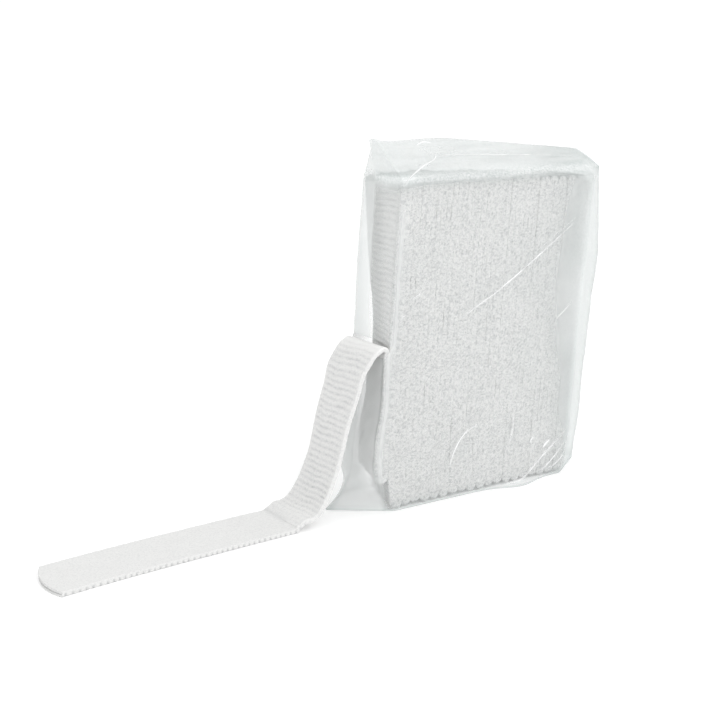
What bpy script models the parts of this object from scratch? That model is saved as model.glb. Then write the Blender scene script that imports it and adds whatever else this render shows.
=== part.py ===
"""A tubular finger bandage, folded flat to and fro into an upright stack, in a clear film bag.

Frame: metres, +Z up, the origin on the floor below the middle of the stack's foot. The layers are
stacked along X and the tube is wide along Y. The free end leaves through a slit in the bag's front,
hangs down and lies on the floor along -X. Sizes are in millimetres and become metres in to_mesh.
"""
import math

import bmesh
import bpy
from mathutils import Vector

MM = 0.001

# Knitted tube
TUBE_WIDTH = 16.0           # flat width
KNIT_WALL = 0.42            # thickness of the knitted wall
LUMEN = 0.22                # space left inside the flattened tube
EDGE_ROUND = 0.9            # width of each rounded side edge
RIB_PITCH = 1.46            # from one knitted rib to the next along the tube
RIB_DEPTH = 0.12            # from rib crest to valley

# Folded stack
LAYERS = 40
LAYER_GAP = 0.41            # air between neighbouring layers
STACK_HEIGHT = 81.6         # top of the highest fold
FOOT_LIFT = 0.9             # lowest folds above the floor
FOLD_UNEVENNESS = 0.35      # how far single folds stand proud or short
EDGE_DRIFT = 0.35           # how far layers are shifted sideways
FRONT_LEAN = 4.2            # the front face leans back by this much at its head
BACK_LEAN = 7.0             # the back face leans by this much
FRONT_BOW = 1.2             # the front face is bowed forward by this much at mid height
FRONT_FOLD_HEIGHT = 8.2     # the first fold hangs this far above the floor
SPLAY = 1.9                 # the first layer bulges forward by this much near its fold
SPLAY_FADE = 0.8            # each layer behind bulges by this share of the one before
FAR_SETBACK = 5.3           # the first layer's +Y edge lies behind its -Y edge by this much
SETBACK_START = 8.0         # length below the bend over the slit where the set-back grows

# Free end
EXIT_HEIGHT = 41.2          # top of the bend over the slit's lower lip, at the tube's middle
EXIT_BEND = 1.0             # radius of that bend
EXIT_TURN = math.radians(112.0)
HANG_REACH = 26.4           # from the bend to where the tube lies flat
HANG_DRIFT = 1.1            # sideways travel on the way down
HANG_TWIST = math.radians(6.0)      # turn of the tube's width on the way down
FLOOR_LENGTH = 58.7         # length lying flat on the floor
FLOOR_DRIFT = 4.4           # sideways travel along the floor
FLOOR_LIFT = 0.05           # underside of the flat length above the floor
CUT_SKEW = 3.0              # the cut end is longer on -Y than on +Y by this much
CUT_FADE = 14.0             # the ribs lie square to the tube from this far along it

# Film bag
FILM_WALL = 0.35            # thickness of the bag's solid, film and air creases together
CLEARANCE = 0.3             # between film and knit
HEAD_CLEARANCE = 0.6        # between the film and the highest folds
FRONT_BULGE = 1.2           # the film's front crease stands this far ahead of the knit
SIDE_BULGE = 0.7            # the film's sides stand off this much at their middle
BACK_REACH = 12.0           # the film's back crease stands this far behind the knit
FLARE_HEIGHT = 9.0          # the film spreads to its floor outline below this height
SLIT_DROP = 2.2             # lower lip below the tube's bend
SLIT_RISE = 1.1             # upper lip above the tube's bend
RIDGE_RISE = 9.0            # crimped top ridge above the stack's head
RIDGE_HALF = 0.35           # half of the space left inside the ridge
RIDGE_AHEAD = 2.0           # the ridge's front end stands this far ahead of the front crease
FLOOR_FRONT = 7.6           # floor outline ahead of the stack's foot
FLOOR_NEAR = 1.2            # floor outline beside the foot, on -Y
FLOOR_FAR = 1.2             # floor outline beside the foot, on +Y

# Height of the folds along the stack's head
HEAD_LINE = (               # share of the stack's depth, share of its height
    (0.00, 0.990),
    (0.18, 1.000),
    (0.55, 0.988),
    (0.90, 0.972),
    (1.00, 0.966),
)

# Forward bulge of the first layers, and how far the layers' +Y edges are set back
SPLAY_LINE = (              # share of the stack's height, share of the bulge
    (0.00, 0.00),
    (0.10, 0.90),
    (0.16, 1.00),
    (0.22, 0.90),
    (0.33, 0.00),
)
SETBACK_LINE = (            # share of the stack's height, share of the set-back
    (0.00, 0.92),
    (0.10, 1.00),
    (0.56, 1.00),
    (1.00, 0.00),
)

# Route of the free end from its bend down to the floor
HANG_LINE = (               # share of the reach, share of the drift, share of the bend's height
    (0.098, 0.05, 0.965),
    (0.172, 0.08, 0.905),
    (0.225, 0.12, 0.850),
    (0.277, 0.18, 0.740),
    (0.341, 0.26, 0.631),
    (0.382, 0.30, 0.552),
    (0.434, 0.40, 0.429),
    (0.490, 0.50, 0.315),
    (0.598, 0.62, 0.167),
    (0.701, 0.73, 0.076),
    (0.785, 0.82, 0.046),
    (0.870, 0.90, 0.038),
    (0.939, 0.96, 0.015),
)
FLOOR_LINE = (              # share of the flat length, share of the floor drift
    (0.00, 0.00),
    (0.10, 0.05),
    (0.30, 0.20),
    (0.55, 0.40),
    (0.80, 0.69),
    (1.00, 1.00),
)

# Bag sections between the foot and the slit, and between the slit and the head
LOWER_ROWS = (              # share of the lower lip's height, share of the front bulge
    (0.045, 1.0),
    (0.100, 1.0),
    (0.180, 1.0),
    (0.265, 0.9),
    (0.350, 0.8),
    (0.460, 0.7),
    (0.600, 0.6),
    (0.780, 0.4),
)
UPPER_ROWS = (              # share of the way from the upper lip to the head, share of the bulge
    (0.22, 0.7),
    (0.48, 0.9),
    (0.74, 1.0),
    (0.90, 1.1),
    (1.00, 1.6),
)
TENT_ROWS = (0.30, 0.60, 0.86, 1.00)     # shares of the way from the head to the ridge

# Top ridge of the bag, and how far the back crease stands off at each height
RIDGE_LINE = (              # share of the ridge's length, share of the ridge's rise
    (0.00, 1.00),
    (0.02, 1.03),
    (0.06, 0.94),
    (0.28, 0.98),
    (0.55, 0.76),
    (0.88, 0.48),
    (0.94, 0.20),
    (1.00, -0.12),
)
BACK_LINE = (               # share of the stack's height, share of the back reach
    (0.00, 1.00),
    (0.45, 1.00),
    (0.75, 1.08),
    (1.00, 0.86),
)

# Unevenness of the folds: share of the whole, turns in radians from fold to fold, and start
FOLD_WAVES = (
    (0.6, 2.4, 0.0),
    (0.4, 5.1, 1.0),
)
DRIFT_TURN = 2.1            # radians from fold to fold of the sideways shifts
DRIFT_START = 0.7
BEND_SHARES = (0.45, 0.72, 1.00)    # points on the bend over the slit's lip
TWIST_SKEW = 0.6            # below 1 the twist is largest in the lower half

# Floor outline and ridge, as shares of the sizes above
TOE_TO_CORNER = 0.38        # the near front corner lies this share of FLOOR_FRONT inside the foot
FAR_CORNER = 0.10           # the far front corner lies this share of it inside the foot
BACK_CORNER = 0.10          # the back corners lie this share of BACK_REACH off the foot
RIDGE_FRONT = 0.02          # the ridge is full width from this share of its length
RIDGE_BACK = 0.07           # and tapers over this share at its back end

# Fineness of the solids
LAYER_LEVELS = (0.10, 0.22, 0.33, 0.56)     # shares of the stack's height where layers bend
FRONT_LEVELS = (0.10, 0.16, 0.22, 0.28, 0.33, 0.44, 0.56)
FRONT_LAYERS = 4            # layers that bend at the front levels
FOLD_STATIONS = 3           # pieces around a fold
CURVE_STEPS = 24            # steps between two points of a route
SIDE_STEPS = 4              # pieces along half of a bag side
END_STEPS = 3               # pieces along half of a bag end
SHARP_EDGE = math.radians(50.0)

THICKNESS = 2 * KNIT_WALL + LUMEN
PITCH = THICKNESS + LAYER_GAP
HALF_SIDE = TUBE_WIDTH / 2 + EDGE_DRIFT + CLEARANCE
SLIT_LOW = EXIT_HEIGHT - SLIT_DROP
SLIT_HIGH = EXIT_HEIGHT + SLIT_RISE


def interpolate(rows, share):
    """Straight-line value of a table's second column at a share of its first."""
    if share <= rows[0][0]:
        return rows[0][1]
    for (low, before), (high, after) in zip(rows, rows[1:]):
        if share <= high:
            return before + (after - before) * (share - low) / (high - low)
    return rows[-1][1]


def clear_scene():
    for item in list(bpy.data.objects):
        bpy.data.objects.remove(item, do_unlink=True)


def make_material(name, colour, roughness, alpha=1.0):
    material = bpy.data.materials.new(name)
    material.use_nodes = True
    shader = material.node_tree.nodes["Principled BSDF"]
    shader.inputs["Base Color"].default_value = (*colour, 1.0)
    shader.inputs["Roughness"].default_value = roughness
    shader.inputs["Metallic"].default_value = 0.0
    shader.inputs["Alpha"].default_value = alpha
    material.diffuse_color = (*colour, alpha)
    return material


def to_mesh(name, points, faces, material):
    """One object from points in millimetres and faces that already point out."""
    mesh = bpy.data.meshes.new(name)
    mesh.from_pydata([Vector(point) * MM for point in points], [], faces)
    mesh.shade_smooth()
    mesh.set_sharp_from_angle(angle=SHARP_EDGE)
    mesh.materials.append(material)
    piece = bpy.data.objects.new(name, mesh)
    bpy.context.scene.collection.objects.link(piece)
    return piece


# Stack

def layer_x(layer, height):
    """A layer's -Y edge at a height."""
    rise = height / STACK_HEIGHT
    depth = layer / (LAYERS - 1)
    foot = (layer - (LAYERS - 1) / 2) * PITCH
    lean = (FRONT_LEAN + (BACK_LEAN - FRONT_LEAN) * depth) * rise
    bow = FRONT_BOW * (1 - depth) * math.sin(math.pi * min(max(rise, 0.0), 1.0))
    splay = SPLAY * SPLAY_FADE ** layer * interpolate(SPLAY_LINE, rise)
    return foot + lean - bow - splay


def far_setback(layer, height):
    """How far a layer's +Y edge lies behind its -Y edge: less from layer to layer."""
    share = interpolate(SETBACK_LINE, height / STACK_HEIGHT) * (1 - layer / (LAYERS - 1))
    if layer < 1:
        below = EXIT_HEIGHT - EXIT_BEND - height
        share *= min(max(below / SETBACK_START, 0.0), 1.0)
    return FAR_SETBACK * share


def layer_side(layer, height):
    """Direction of a layer's width."""
    turn = far_setback(layer, height) / TUBE_WIDTH
    return Vector((turn, math.sqrt(1.0 - turn * turn), 0.0))


def layer_middle(layer, drift, height):
    """Middle of a layer, placed so that its -Y edge stays flush with the others."""
    half = layer_side(layer, height) * (TUBE_WIDTH / 2)
    return Vector((layer_x(layer, height) + half.x, drift + half.y - TUBE_WIDTH / 2, height))


def fold_height(fold):
    """Crown of the fold after a layer: even folds are at the foot, odd ones at the head."""
    if fold == 0:
        return FRONT_FOLD_HEIGHT
    waves = sum(share * math.sin(turn * fold + start) for share, turn, start in FOLD_WAVES)
    wobble = FOLD_UNEVENNESS * waves
    if fold % 2 == 0:
        return FOOT_LIFT + FOLD_UNEVENNESS + wobble
    depth = (fold + 0.5) / (LAYERS - 1)
    return STACK_HEIGHT * interpolate(HEAD_LINE, depth) - FOLD_UNEVENNESS + wobble


def fold_drift(fold):
    return EDGE_DRIFT * math.sin(DRIFT_TURN * fold + DRIFT_START)


def fold_radius(fold):
    height = fold_height(fold)
    return (layer_middle(fold + 1, 0.0, height).x - layer_middle(fold, 0.0, height).x) / 2


def layer_stations(layer, start, end, drift_start, drift_end):
    """Stations at both ends of a layer and at each level between them, in running order."""
    levels = FRONT_LEVELS if layer < FRONT_LAYERS else LAYER_LEVELS
    low, high = sorted((start, end))
    heights = [STACK_HEIGHT * level for level in levels]
    inside = [height for height in heights if low + PITCH < height < high - PITCH]
    stations = []
    for height in sorted([start, *inside, end], reverse=start > end):
        share = (height - start) / (end - start)
        drift = drift_start + (drift_end - drift_start) * share
        stations.append((layer_middle(layer, drift, height), layer_side(layer, height)))
    return stations


def fold_stations(fold):
    """Inner stations of the half turn from one layer to the next."""
    radius = fold_radius(fold)
    up = 1 if fold % 2 else -1
    base = fold_height(fold) - up * radius
    before = layer_middle(fold, fold_drift(fold), base)
    after = layer_middle(fold + 1, fold_drift(fold), base)
    stations = []
    for step in range(1, FOLD_STATIONS):
        angle = math.pi * step / FOLD_STATIONS
        point = before.lerp(after, (1 - math.cos(angle)) / 2)
        point.z += up * radius * math.sin(angle)
        stations.append((point, layer_side(fold + 0.5, base)))
    return stations


def stack_stations():
    """Middle and width direction through all layers, from the slit to the last mouth."""
    stations = []
    for layer in range(LAYERS):
        down = layer % 2 == 0
        start = EXIT_HEIGHT - EXIT_BEND
        drift = 0.0
        if layer:
            turn = 1 if down else -1
            start = fold_height(layer - 1) - turn * fold_radius(layer - 1)
            drift = fold_drift(layer - 1)
        end = STACK_HEIGHT * interpolate(HEAD_LINE, 1.0) - PITCH / 2
        if layer < LAYERS - 1:
            end = fold_height(layer) + (fold_radius(layer) if down else -fold_radius(layer))
        stations += layer_stations(layer, start, end, drift, fold_drift(layer))
        if layer < LAYERS - 1:
            stations += fold_stations(layer)
    return stations


# Free end

def smooth_route(points, spacing):
    """Evenly spaced points on a Catmull-Rom curve through the given ones."""
    first = points[0] * 2 - points[1]
    last = points[-1] * 2 - points[-2]
    ring = [first, *points, last]
    dense = []
    for before, start, end, after in zip(ring, ring[1:], ring[2:], ring[3:]):
        for step in range(CURVE_STEPS):
            t = step / CURVE_STEPS
            dense.append(0.5 * (
                start * 2
                + (end - before) * t
                + (before * 2 - start * 5 + end * 4 - after) * t ** 2
                + (start * 3 - before - end * 3 + after) * t ** 3
            ))
    dense.append(points[-1])
    travelled = [0.0]
    for start, end in zip(dense, dense[1:]):
        travelled.append(travelled[-1] + (end - start).length)
    count = max(2, round(travelled[-1] / spacing))
    even = []
    index = 0
    for step in range(count + 1):
        target = travelled[-1] * step / count
        while index < len(dense) - 2 and travelled[index + 1] < target:
            index += 1
        span = travelled[index + 1] - travelled[index]
        even.append(dense[index].lerp(dense[index + 1], (target - travelled[index]) / span))
    return even


def bend_centre():
    height = EXIT_HEIGHT - EXIT_BEND
    return Vector((layer_x(0, height) - EXIT_BEND, 0.0, height))


def free_end_stations():
    """Middle and width direction from the cut end on the floor up to the slit."""
    centre = bend_centre()
    lying = THICKNESS / 2 + RIB_DEPTH / 2 + FLOOR_LIFT
    route = []
    for share in BEND_SHARES:
        angle = EXIT_TURN * share
        route.append(centre + EXIT_BEND * Vector((math.cos(angle), 0.0, math.sin(angle))))
    for reach, drift, height in HANG_LINE:
        fall = lying + (EXIT_HEIGHT - lying) * height
        route.append(Vector((centre.x - HANG_REACH * reach, -HANG_DRIFT * drift, fall)))
    for along, drift in FLOOR_LINE:
        route.append(Vector((
            centre.x - HANG_REACH - FLOOR_LENGTH * along,
            -HANG_DRIFT - FLOOR_DRIFT * drift,
            lying,
        )))
    points = reversed(smooth_route(route, RIB_PITCH / 2))
    return [(point, hang_side(point.z)) for point in points]


# Tube around its middle line

def tube_section(thickness):
    """Outer and inner outline of the flattened tube, as sideways and upward offsets."""
    half = TUBE_WIDTH / 2
    crown = half - EDGE_ROUND
    wall = thickness / 2
    outer = [
        (-half, 0.0), (-crown, -wall), (crown, -wall),
        (half, 0.0), (crown, wall), (-crown, wall),
    ]
    gap = LUMEN / 2
    inner = [(-crown, -gap), (crown, -gap), (crown, gap), (-crown, gap)]
    return outer, inner


def hang_side(height):
    """The hanging tube's width turns away from Y between the bend and the floor."""
    share = min(max(height / EXIT_HEIGHT, 0.0), 1.0)
    turn = HANG_TWIST * math.sin(math.pi * share ** TWIST_SKEW)
    return Vector((math.sin(turn), math.cos(turn), 0.0))


def sweep_rings(stations, ribbed):
    """Rings of points around the stations: the first `ribbed` alternate crest and valley."""
    outer_rings = []
    inner_rings = []
    travelled = 0.0
    for index, (point, width) in enumerate(stations):
        before = stations[max(index - 1, 0)][0]
        after = stations[min(index + 1, len(stations) - 1)][0]
        tangent = (after - before).normalized()
        travelled += (point - before).length
        side = width
        if index < ribbed:
            side = (width - tangent * width.dot(tangent)).normalized()
        normal = tangent.cross(side).normalized()
        skew = CUT_SKEW / TUBE_WIDTH * max(1.0 - travelled / CUT_FADE, 0.0)
        side = side + tangent * skew
        rib = RIB_DEPTH if index < ribbed and index % 2 else 0.0
        outer, inner = tube_section(THICKNESS - rib)
        outer_rings.append([point + side * across + normal * up for across, up in outer])
        inner_rings.append([point + side * across + normal * up for across, up in inner])
    return outer_rings, inner_rings


def ring_faces(rings, start, outward):
    """Triangles between neighbouring rings whose points are numbered from start.

    Each side of a segment is split along the diagonal that climbs towards +Y, so that the walls of
    neighbouring layers stay parallel where a layer's two edges don't.
    """
    faces = []
    size = len(rings[0])
    for row in range(len(rings) - 1):
        for column in range(size):
            following = (column + 1) % size
            a = start + row * size + column
            b = start + row * size + following
            across = rings[row + 1][following] - rings[row][column]
            if across.y * across.z < 0:
                pair = ((a, a + size, b), (a + size, b + size, b))
            else:
                pair = ((a, a + size, b + size), (a, b + size, b))
            faces += pair if outward else [tuple(reversed(face)) for face in pair]
    return faces


def mouth_faces(outer, inner, flip):
    """The cut end of the tube, between its six outer and four inner points."""
    o, i = outer, inner
    faces = [
        (o[0], o[1], i[0]), (o[1], o[2], i[1], i[0]), (o[2], o[3], i[1]), (o[3], i[2], i[1]),
        (o[3], o[4], i[2]), (o[4], o[5], i[3], i[2]), (o[5], o[0], i[3]), (o[0], i[0], i[3]),
    ]
    return [tuple(reversed(face)) for face in faces] if flip else faces


def add_bandage():
    free_end = free_end_stations()
    stations = free_end + stack_stations()
    outer_rings, inner_rings = sweep_rings(stations, len(free_end))
    points = [point for ring in outer_rings + inner_rings for point in ring]
    outer_count = sum(len(ring) for ring in outer_rings)
    faces = ring_faces(outer_rings, 0, True)
    faces += ring_faces(inner_rings, outer_count, False)
    outer_size = len(outer_rings[0])
    inner_size = len(inner_rings[0])
    last_outer = outer_count - outer_size
    last_inner = len(points) - inner_size
    faces += mouth_faces(
        range(outer_size), range(outer_count, outer_count + inner_size), False)
    faces += mouth_faces(
        range(last_outer, outer_count), range(last_inner, len(points)), True)
    knit = make_material("cotton_knit", (0.86, 0.86, 0.85), 0.95)
    piece = to_mesh("bandage", points, faces, knit)
    point_out(piece)


def point_out(piece):
    """Turns the faces out, whichever way round the sections were listed."""
    work = bmesh.new()
    work.from_mesh(piece.data)
    bmesh.ops.recalc_face_normals(work, faces=work.faces)
    if work.calc_volume(signed=True) < 0:
        bmesh.ops.reverse_faces(work, faces=work.faces)
    work.to_mesh(piece.data)
    work.free()


# Film bag

def front_face(height):
    """Front of the knit: the first layer below the slit, the second above it."""
    layer = 0 if height < EXIT_HEIGHT else 1
    return layer_x(layer, height) - THICKNESS / 2


def back_face(height):
    return layer_x(LAYERS - 1, height) + THICKNESS / 2


def head_height(depth):
    """Film height over the stack's head, falling off behind the last layer."""
    fall = max(depth - 1.0, 0.0) * BACK_REACH
    return STACK_HEIGHT * interpolate(HEAD_LINE, depth) + HEAD_CLEARANCE - fall


def spread(corners):
    """A closed ring through named corners, with the same steps on both sides."""
    counts = (END_STEPS, SIDE_STEPS, SIDE_STEPS, END_STEPS) * 2
    ring = []
    for index, steps in enumerate(counts):
        start = Vector(corners[index])
        end = Vector(corners[(index + 1) % len(corners)])
        ring += [start.lerp(end, step / steps) for step in range(steps)]
    return ring


def body_corners(height, bulge):
    """Front crease, -Y side, back crease and +Y side of the film around the knit."""
    front = front_face(height) - CLEARANCE
    back = back_face(height) + CLEARANCE
    reach = BACK_REACH * interpolate(BACK_LINE, height / STACK_HEIGHT)
    middle = (front + back) / 2
    side = HALF_SIDE + SIDE_BULGE
    return [
        (front - FRONT_BULGE * bulge, 0.0), (front, -HALF_SIDE), (middle, -side),
        (back, -HALF_SIDE), (back + reach, 0.0), (back, HALF_SIDE),
        (middle, side), (front, HALF_SIDE),
    ]


def floor_corners():
    """The film's outline on the floor, a little wider than the stack's foot."""
    front = front_face(0.0)
    back = back_face(0.0)
    near = TUBE_WIDTH / 2 + FLOOR_NEAR
    far = TUBE_WIDTH / 2 + FLOOR_FAR
    middle = (front + back) / 2
    near_front = front + FLOOR_FRONT * TOE_TO_CORNER
    far_front = front + FLOOR_FRONT * FAR_CORNER
    near_back = back - BACK_REACH * BACK_CORNER
    far_back = back + BACK_REACH * BACK_CORNER
    return [
        (front - FLOOR_FRONT, FLOOR_FAR), (near_front, -near), (middle, -near),
        (near_back, -near), (back + BACK_REACH, 0.0), (far_back, far),
        (middle, far), (far_front, far),
    ]


def ridge_corners(head):
    """The crimped ridge runs in the middle plane from the front crease to the back crease."""
    front = head[0][0] - RIDGE_AHEAD
    back = head[4][0]
    length = back - front
    full_from = front + length * RIDGE_FRONT
    full_to = back - length * RIDGE_BACK
    middle = (full_from + full_to) / 2
    return [
        (front, 0.0), (full_from, -RIDGE_HALF), (middle, -RIDGE_HALF),
        (full_to, -RIDGE_HALF), (back, 0.0), (full_to, RIDGE_HALF),
        (middle, RIDGE_HALF), (full_from, RIDGE_HALF),
    ]


def depth_share(x, height):
    front = front_face(height)
    return (x - front) / (back_face(height) - front)


def body_row(height, bulge):
    """One section of the film around the knit, spread towards the floor outline low down."""
    flare = max(1.0 - (height - FILM_WALL) / FLARE_HEIGHT, 0.0) ** 2
    ring = []
    for body, floor in zip(spread(body_corners(height, bulge)), spread(floor_corners())):
        point = body.lerp(floor, flare)
        level = height * head_height(depth_share(point.x, height)) / head_height(0.0)
        ring.append(Vector((point.x, point.y, level if flare < 1.0 else height)))
    return ring


def tent_rows(head_row, bulge):
    """Sections from the stack's head up to the crimped ridge."""
    ridge = spread(ridge_corners(body_corners(head_height(0.0), bulge)))
    front = ridge[0].x
    length = max(point.x for point in ridge) - front
    rows = []
    for share in TENT_ROWS:
        row = []
        for start, end in zip(head_row, ridge):
            rise = RIDGE_RISE * interpolate(RIDGE_LINE, (end.x - front) / length)
            top = Vector((end.x, end.y, STACK_HEIGHT + rise))
            row.append(start.lerp(top, share))
        rows.append(row)
    return rows


def bag_rows():
    """All sections from the floor to the ridge, and the number of the one at the lower lip."""
    rows = [body_row(FILM_WALL, 1.0)]
    for share, bulge in LOWER_ROWS:
        rows.append(body_row(FILM_WALL + (SLIT_LOW - FILM_WALL) * share, bulge))
    rows.append(body_row(SLIT_LOW, 0.0))
    lip = len(rows) - 1
    rows.append(body_row(SLIT_HIGH, 0.0))
    for share, bulge in UPPER_ROWS:
        rows.append(body_row(SLIT_HIGH + (head_height(0.0) - SLIT_HIGH) * share, bulge))
    rows += tent_rows(rows[-1], UPPER_ROWS[-1][1])
    return rows, lip


def bag_surface(rows, lip):
    """The film's inner surface as a bmesh, open only at the slit."""
    work = bmesh.new()
    grid = [[work.verts.new(point) for point in row] for row in rows]
    size = len(grid[0])
    for level in range(len(grid) - 1):
        for column in range(size):
            at_front = column < END_STEPS or column >= size - END_STEPS
            if level == lip and at_front:
                continue
            following = (column + 1) % size
            work.faces.new((
                grid[level][column], grid[level][following],
                grid[level + 1][following], grid[level + 1][column],
            ))
    work.faces.new(list(reversed(grid[0])))
    top = grid[-1]
    for column in range(size // 2):
        opposite = size - column
        face = [top[column], top[column + 1], top[opposite - 1], top[opposite % size]]
        work.faces.new(list(dict.fromkeys(face)))
    bmesh.ops.recalc_face_normals(work, faces=work.faces)
    return work, grid


def add_bag():
    rows, lip = bag_rows()
    work, grid = bag_surface(rows, lip)
    work.normal_update()
    inner = [vert.co.copy() for vert in work.verts]
    outer = [vert.co + vert.normal * FILM_WALL for vert in work.verts]
    work.verts.index_update()
    for vert in grid[0]:
        outward = Vector((vert.normal.x, vert.normal.y, 0.0)).normalized()
        outer[vert.index] = vert.co + outward * FILM_WALL
        outer[vert.index].z = 0.0
    count = len(inner)
    faces = []
    for face in work.faces:
        loop = [vert.index for vert in face.verts]
        faces.append(tuple(count + index for index in loop))
        faces.append(tuple(reversed(loop)))
    for edge in work.edges:
        if edge.is_boundary:
            a, b = (vert.index for vert in edge.verts)
            faces.append((a, b, count + b, count + a))
    work.free()
    film = make_material("clear_film", (0.88, 0.90, 0.90), 0.18, 0.3)
    piece = to_mesh("bag", inner + outer, faces, film)
    point_out(piece)


def main():
    clear_scene()
    add_bandage()
    add_bag()


main()
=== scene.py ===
import math

import bpy
import numpy as np
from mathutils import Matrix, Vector
from mathutils.bvhtree import BVHTree


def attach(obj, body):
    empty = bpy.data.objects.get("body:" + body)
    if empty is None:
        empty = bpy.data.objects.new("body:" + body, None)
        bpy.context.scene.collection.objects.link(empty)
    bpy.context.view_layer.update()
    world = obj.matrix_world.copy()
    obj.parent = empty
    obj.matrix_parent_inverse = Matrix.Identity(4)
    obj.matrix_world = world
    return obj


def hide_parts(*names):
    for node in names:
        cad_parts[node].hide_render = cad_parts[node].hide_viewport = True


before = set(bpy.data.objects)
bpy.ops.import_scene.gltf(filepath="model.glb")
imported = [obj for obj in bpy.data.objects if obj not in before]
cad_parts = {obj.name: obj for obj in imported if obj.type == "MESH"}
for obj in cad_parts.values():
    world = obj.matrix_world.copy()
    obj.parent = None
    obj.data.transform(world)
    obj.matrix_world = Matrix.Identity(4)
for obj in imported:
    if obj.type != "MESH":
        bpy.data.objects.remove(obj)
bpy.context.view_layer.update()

MM = 0.001

# Knitted tube, in millimetres as in the CAD source
TUBE_WIDTH = 16.0
KNIT_WALL = 0.42
LUMEN = 0.22
RIB_PITCH = 1.46
RIB_DEPTH = 0.12

# Folded stack
LAYERS = 40
LAYER_GAP = 0.41
STACK_HEIGHT = 81.6
FOOT_LIFT = 0.9
FOLD_UNEVENNESS = 0.35
EDGE_DRIFT = 0.35
FRONT_LEAN = 4.2
BACK_LEAN = 7.0
FRONT_BOW = 1.2
FRONT_FOLD_HEIGHT = 8.2
SPLAY = 1.9
SPLAY_FADE = 0.8
FAR_SETBACK = 5.3
SETBACK_START = 8.0

# Free end
EXIT_HEIGHT = 41.2
EXIT_BEND = 1.0
EXIT_TURN = math.radians(112.0)
HANG_REACH = 26.4
HANG_DRIFT = 1.1
HANG_TWIST = math.radians(6.0)
FLOOR_LENGTH = 58.7
FLOOR_DRIFT = 4.4
FLOOR_LIFT = 0.05
CUT_SKEW = 3.0
CUT_FADE = 14.0

# Film bag
FILM_WALL = 0.35
CLEARANCE = 0.3
HEAD_CLEARANCE = 0.6
FRONT_BULGE = 1.2
SIDE_BULGE = 0.7
BACK_REACH = 12.0
FLARE_HEIGHT = 13.5         # the film's toe is larger here than the solid's, as in the photo
SLIT_DROP = 2.2
SLIT_RISE = 1.1
RIDGE_RISE = 9.0
RIDGE_HALF = 0.35
RIDGE_AHEAD = 2.0
FLOOR_FRONT = 10.8          # and it reaches further forward
FLOOR_NEAR = 1.2
FLOOR_FAR = 1.2
TOE_TO_CORNER = 0.27
FAR_CORNER = 0.07
BACK_CORNER = 0.10
RIDGE_FRONT = 0.02
RIDGE_BACK = 0.07

HEAD_LINE = ((0.00, 0.990), (0.18, 1.000), (0.55, 0.988), (0.90, 0.972), (1.00, 0.966))
SPLAY_LINE = ((0.00, 0.00), (0.10, 0.90), (0.16, 1.00), (0.22, 0.90), (0.33, 0.00))
SETBACK_LINE = ((0.00, 0.92), (0.10, 1.00), (0.56, 1.00), (1.00, 0.00))
HANG_LINE = (               # share of the reach, share of the drift, share of the bend's height
    (0.098, 0.05, 0.965),
    (0.172, 0.08, 0.905),
    (0.225, 0.12, 0.850),
    (0.277, 0.18, 0.740),
    (0.341, 0.26, 0.631),
    (0.382, 0.30, 0.552),
    (0.434, 0.40, 0.429),
    (0.490, 0.50, 0.315),
    (0.598, 0.62, 0.167),
    (0.701, 0.73, 0.076),
    (0.785, 0.82, 0.046),
    (0.870, 0.90, 0.038),
    (0.939, 0.96, 0.015),
)
FLOOR_LINE = ((0.00, 0.00), (0.10, 0.05), (0.30, 0.20), (0.55, 0.40), (0.80, 0.69), (1.00, 1.00))
LOWER_ROWS = (
    (0.045, 1.0), (0.100, 1.0), (0.180, 1.0), (0.265, 0.9),
    (0.350, 0.8), (0.460, 0.7), (0.600, 0.6), (0.780, 0.4),
)
UPPER_ROWS = ((0.22, 0.7), (0.48, 0.9), (0.74, 1.0), (0.90, 1.1), (1.00, 1.6))
RIDGE_LINE = (
    (0.00, 1.00), (0.02, 1.03), (0.06, 0.94), (0.28, 0.98),
    (0.55, 0.76), (0.88, 0.48), (0.94, 0.20), (1.00, -0.12),
)
BACK_LINE = ((0.00, 1.00), (0.45, 1.00), (0.75, 1.08), (1.00, 0.86))
FOLD_WAVES = ((0.6, 2.4, 0.0), (0.4, 5.1, 1.0))
DRIFT_TURN = 2.1
DRIFT_START = 0.7
BEND_SHARES = (0.0, 0.22, 0.45, 0.72, 1.00)
TWIST_SKEW = 0.6

THICKNESS = 2 * KNIT_WALL + LUMEN
PITCH = THICKNESS + LAYER_GAP
HALF_SIDE = TUBE_WIDTH / 2 + EDGE_DRIFT + CLEARANCE
SLIT_LOW = EXIT_HEIGHT - SLIT_DROP
SLIT_HIGH = EXIT_HEIGHT + SLIT_RISE

# Knit surface
CREST_DEPTH = 0.26          # from rib crest to valley on the seen surface
CREST_POWER = 1.2           # narrows the crests a little
EDGE_RADIUS = 0.30
SHOULDERS = (0.4, 0.45)     # powers below 1 make the edges of the free end square-shouldered
EDGE_BUMP = 0.07            # how far a rib stands out at the tube's side edges
PICOT = 0.16                # how far the loops stand out along the edges of the lying end
EDGE_FADE = 1.3             # the ribs of the free end fade over this width towards its edges
EDGE_LEFT = 0.12            # to this share of their height
APEX_FADE = 3.0             # and over this length to both sides of its highest bend
APEX_FLAT = 0.85            # where they lose this share of it
FREE_FADE = 3.0             # what holds for the free end alone ends over this length before the slit
LYING_RIBS = 0.06           # share of the ribs' height that is left where the tube lies
LYING_FADE = 6.0            # what holds for the lying end alone ends over this length
RISE_AHEAD = 1.0            # the ribs grow again from this far before the tube leaves the floor
RISE_LENGTH = 15.0          # and over this length
RIB_MEAN = 0.85             # their height wavers around this share
RIB_UNEVEN = 0.30           # by this much
SIDE_FADE = 0.7             # the ribs' height is less by this share at the edges of pressed layers
SIDE_FROM = 1.6             # which begin this far from the outer edge
SIDE_OVER = 1.3             # and are complete after this width
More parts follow.
